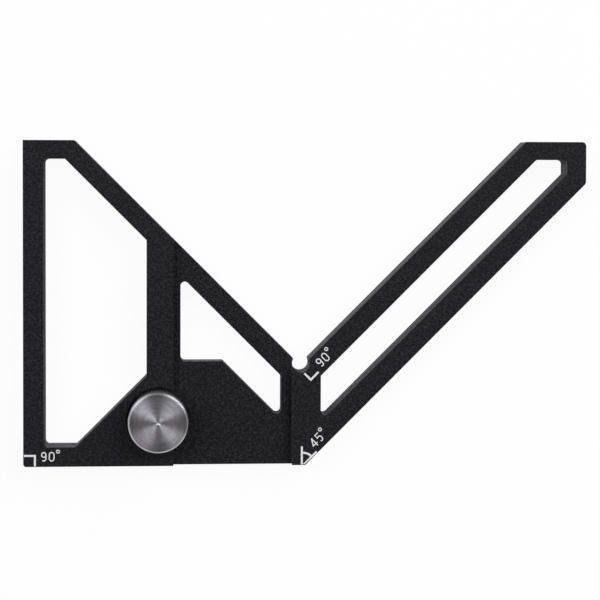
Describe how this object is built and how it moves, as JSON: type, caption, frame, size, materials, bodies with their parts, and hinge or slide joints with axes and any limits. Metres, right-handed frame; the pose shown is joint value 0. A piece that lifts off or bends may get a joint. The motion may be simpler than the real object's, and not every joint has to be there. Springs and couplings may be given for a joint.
{
  "type": "center finder square",
  "caption": "Flat center finder square head with a V, a slotted 45 degree arm and a knurled knob that clamps it on a steel rule.",
  "frame": {"origin": "on the back face, in the middle of the head's width and height", "axes": "+X along the foot towards the arm's end, +Y up from the foot, +Z out of the face that the knob is on"},
  "size_m": [0.133, 0.0766, 0.0132],
  "materials": {
    "black_head": "black anodised over fine blasting, matt with a fine sandy grain",
    "turned_steel": "turned on a lathe, with fine rings round a centre point and a bright chamfer",
    "stud_steel": "plain machined",
    "dark_steel": "blackened",
    "white_marking": "white laser marking of the angle signs, on the face"
  },
  "bodies": {
    "head": {"body": "black_head"},
    "washer": {"clamp_washer": "dark_steel"},
    "clamp_screw": {"clamp_knob": "turned_steel", "clamp_stud": "stud_steel", "retaining_ring": "stud_steel"}
  },
  "joints": [
    {"name": "clamp_lift", "type": "slide", "parent": "head", "child": "washer", "axis": [0, 0, 1], "range_m": [0, 0.0014]},
    {"name": "clamp_turn", "type": "hinge", "parent": "washer", "child": "clamp_screw", "pos_m": [-0.03491, -0.0273, 0.0059], "axis": [0, 0, 1], "range_deg": [0, 720]}
  ],
  "couplings": [
    {"joint": "clamp_turn", "follows": "clamp_lift", "rad_per_m": 8976}
  ]
}
